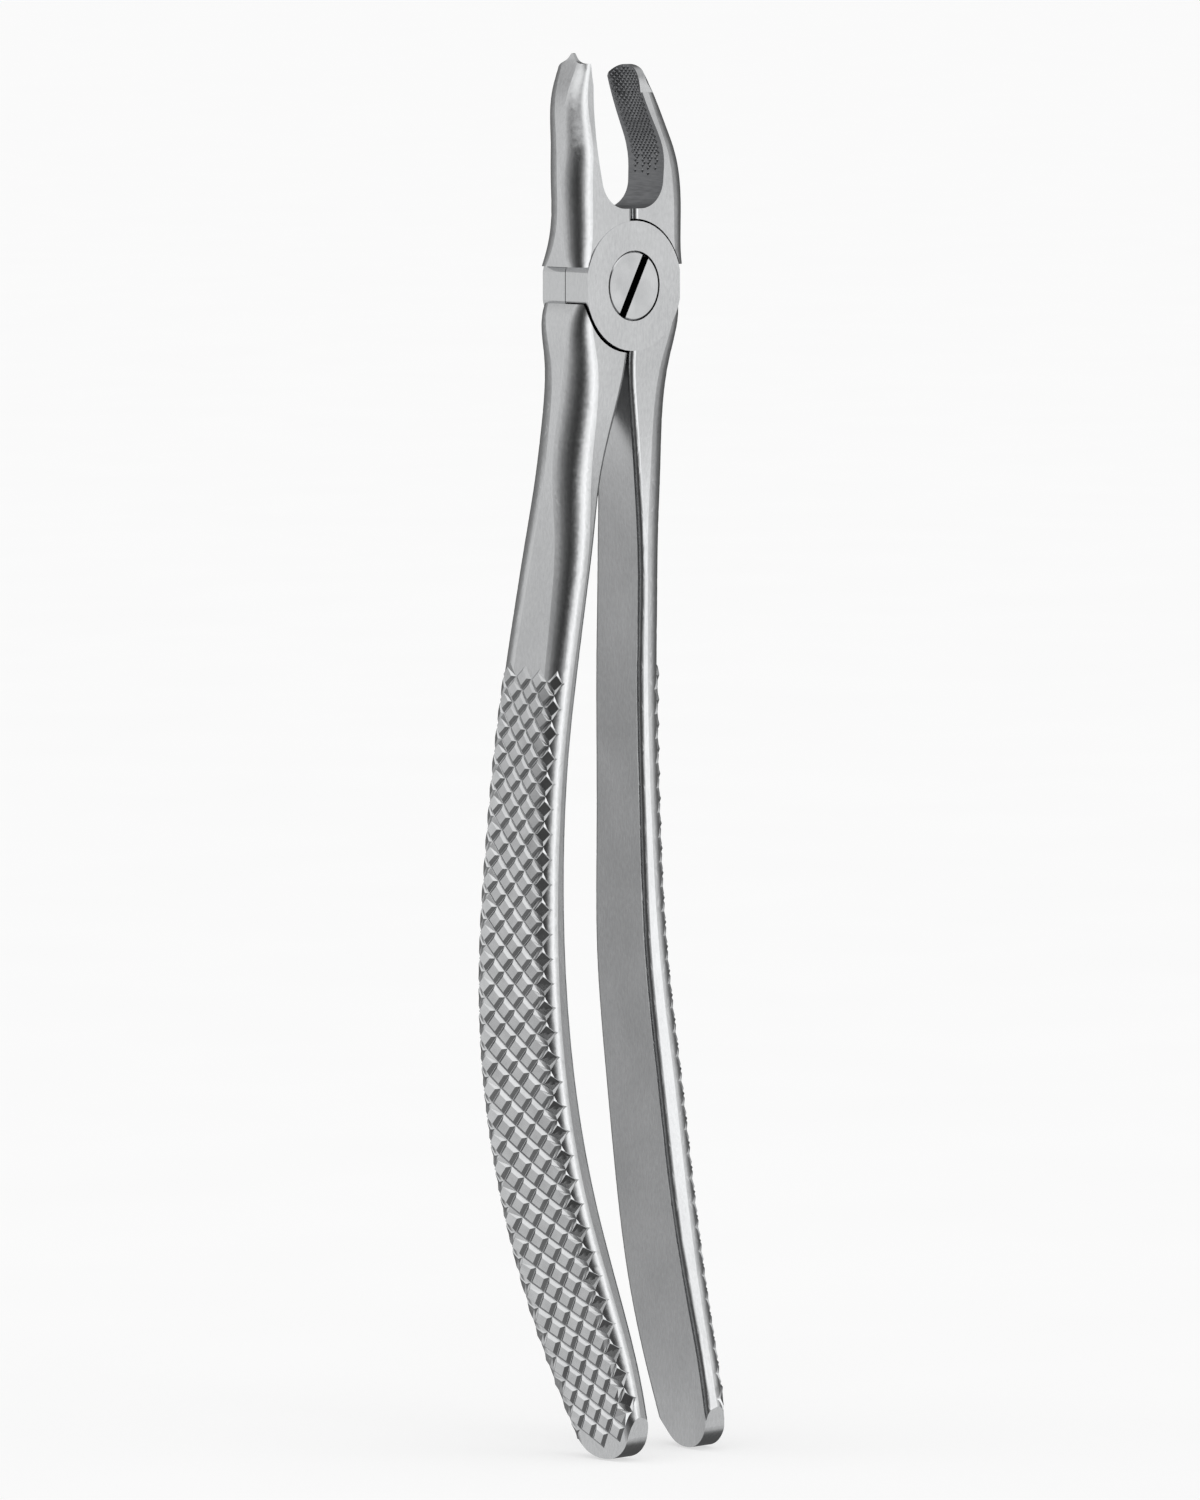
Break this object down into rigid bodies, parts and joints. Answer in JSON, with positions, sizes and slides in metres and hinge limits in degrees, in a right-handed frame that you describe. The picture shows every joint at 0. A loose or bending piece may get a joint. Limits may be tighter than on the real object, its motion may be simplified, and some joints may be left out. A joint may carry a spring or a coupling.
{
  "type": "extraction forceps",
  "caption": "Dental extraction forceps: two forged steel halves that cross at a lap joint, with serrated beaks, bowed knurled handles and a slotted pivot screw.",
  "frame": {"origin": "on the pivot axis, at the lap joint's flat back face", "axes": "+Z along the instrument towards the beaks, +X the way the right beak opens, +Y out of the joint's back face, with the screw head facing -Y"},
  "size_m": [0.0258, 0.0246, 0.1749],
  "materials": {
    "stainless_steel": "satin, with a polished and knurled grip"
  },
  "bodies": {
    "back_half": {"back_half": "stainless_steel", "pivot_screw": "stainless_steel"},
    "front_half": {"front_half": "stainless_steel"}
  },
  "joints": [
    {"name": "pivot", "type": "hinge", "parent": "back_half", "child": "front_half", "pos_m": [0, 0, 0], "axis": [0, -1, 0], "range_deg": [-0.6, 25]}
  ]
}
